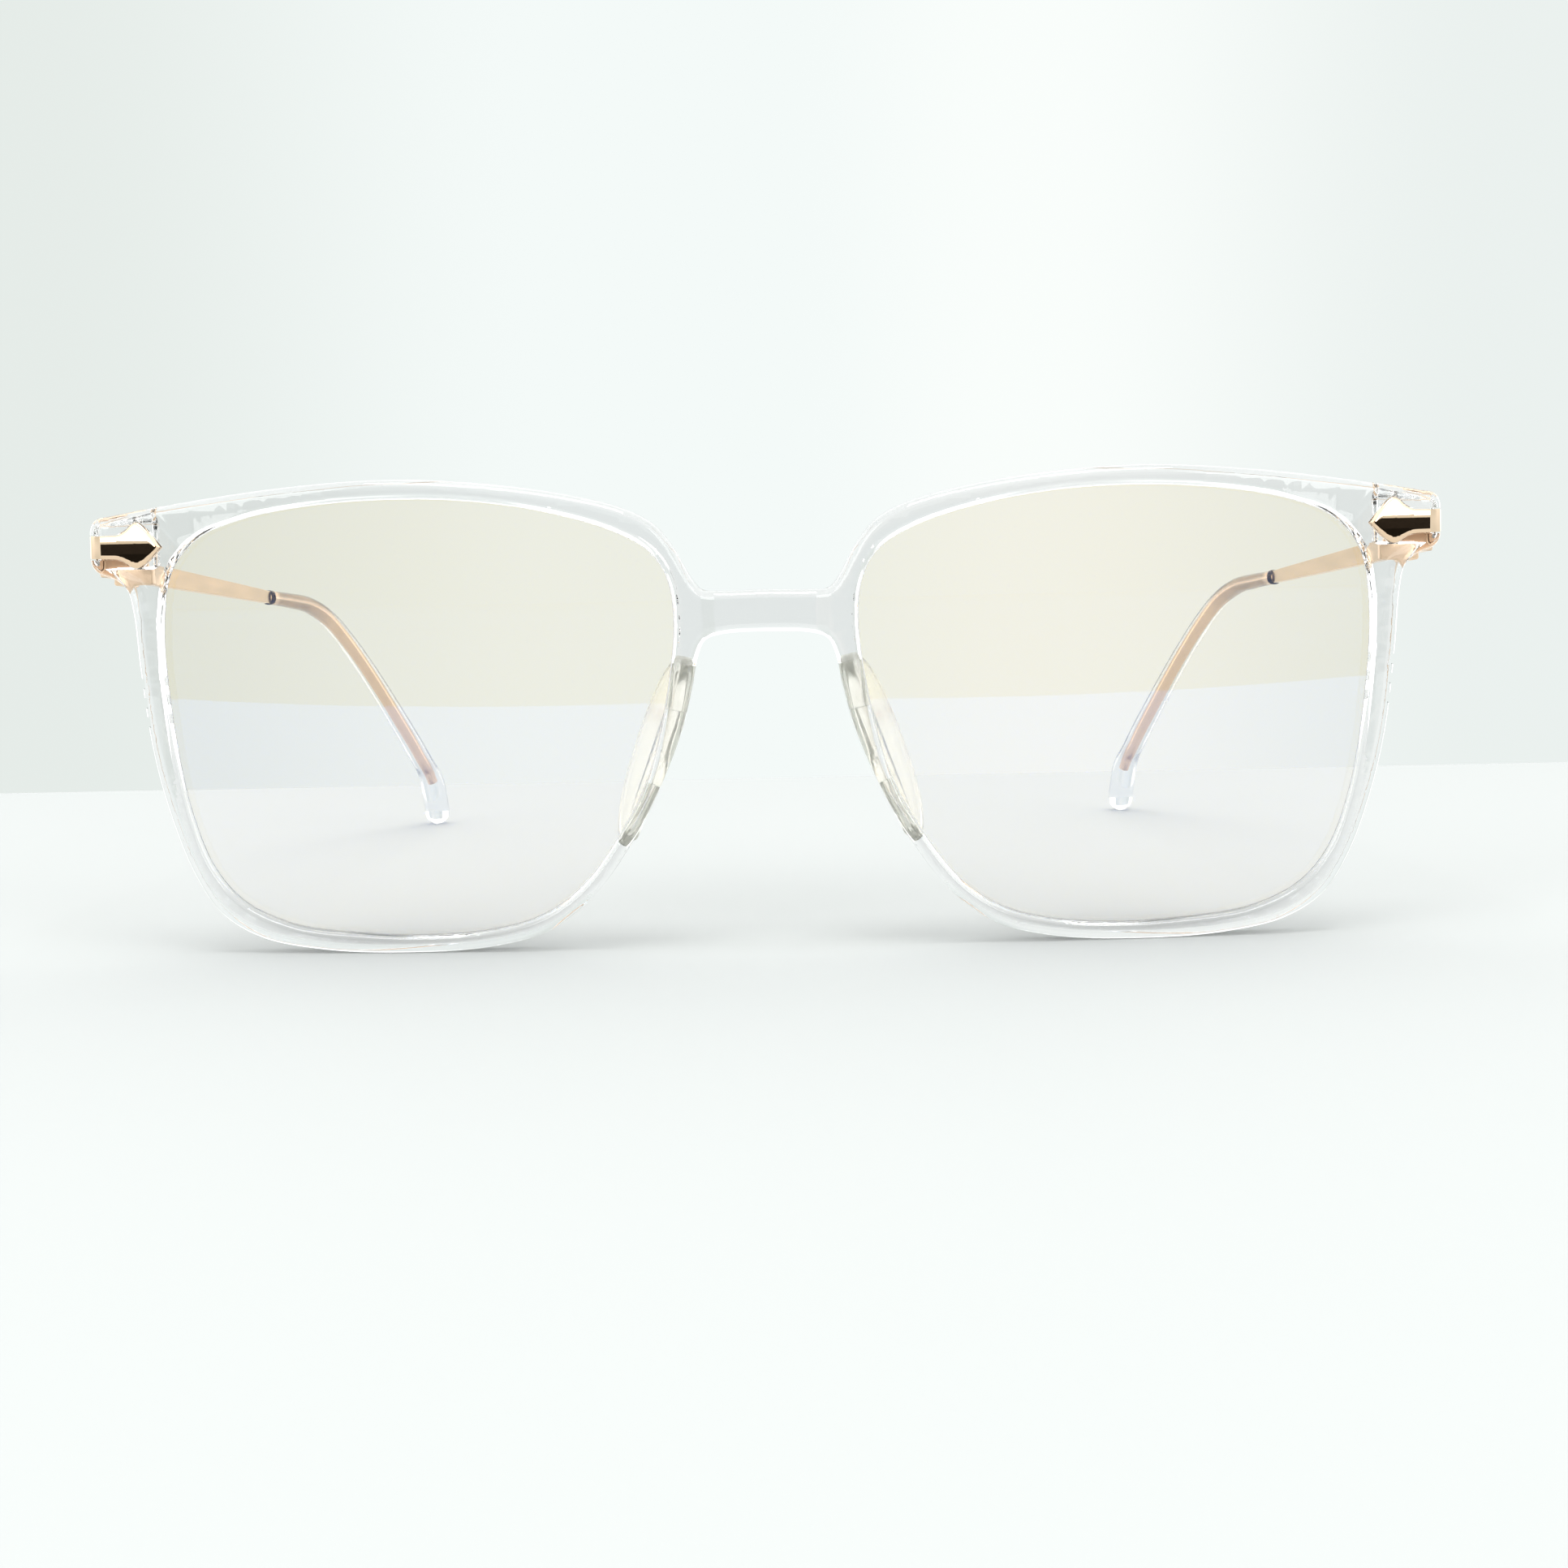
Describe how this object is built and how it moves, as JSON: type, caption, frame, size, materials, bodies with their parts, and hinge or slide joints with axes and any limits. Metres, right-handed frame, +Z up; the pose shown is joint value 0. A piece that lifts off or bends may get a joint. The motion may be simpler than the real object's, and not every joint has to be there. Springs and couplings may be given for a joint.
{
  "type": "blue light glasses",
  "caption": "Full-rim glasses with a clear moulded front, pale tinted lenses, soft nose pads, spear-shaped metal corner trims and folding metal temples with clear tips.",
  "frame": {"origin": "on the surface that the open glasses stand on, under the middle of their bounding box", "axes": "+Z up, the front faces -Y, the temples run back along +Y, and +X is the wearer's left"},
  "size_m": [0.1414, 0.1435, 0.049],
  "materials": {
    "crystal_plastic": "polished clear moulding",
    "lens_resin": "polished clear lens with a faint warm tint and a blue-white reflecting coating",
    "pad_silicone": "soft translucent silicone, slightly yellow",
    "tip_plastic": "clear gloss",
    "rose_gold": "polished rose-gold plating",
    "screw_steel": "plated",
    "washer_nylon": "translucent nylon"
  },
  "bodies": {
    "front": {"frame_front": "crystal_plastic", "left_lens": "lens_resin", "left_nose_pad": "pad_silicone", "left_corner_trim": "rose_gold", "left_hinge_front": "rose_gold", "left_hinge_screw": "screw_steel", "left_plate_screw": "screw_steel", "left_upper_washer": "washer_nylon", "left_lower_washer": "washer_nylon", "right_lens": "lens_resin", "right_nose_pad": "pad_silicone", "right_corner_trim": "rose_gold", "right_hinge_front": "rose_gold", "right_hinge_screw": "screw_steel", "right_plate_screw": "screw_steel", "right_upper_washer": "washer_nylon", "right_lower_washer": "washer_nylon"},
    "left_temple": {"left_hinge_temple": "rose_gold", "left_temple": "rose_gold", "left_temple_tip": "tip_plastic"},
    "right_temple": {"right_hinge_temple": "rose_gold", "right_temple": "rose_gold", "right_temple_tip": "tip_plastic"}
  },
  "joints": [
    {"name": "left_temple_fold", "type": "hinge", "parent": "front", "child": "left_temple", "pos_m": [0.06775, -0.0586, 0.041], "axis": [-0.0018, 0.0514, 0.9987], "range_deg": [0, 83]},
    {"name": "right_temple_fold", "type": "hinge", "parent": "front", "child": "right_temple", "pos_m": [-0.06775, -0.0586, 0.041], "axis": [-0.0018, -0.0514, -0.9987], "range_deg": [0, 77]}
  ]
}
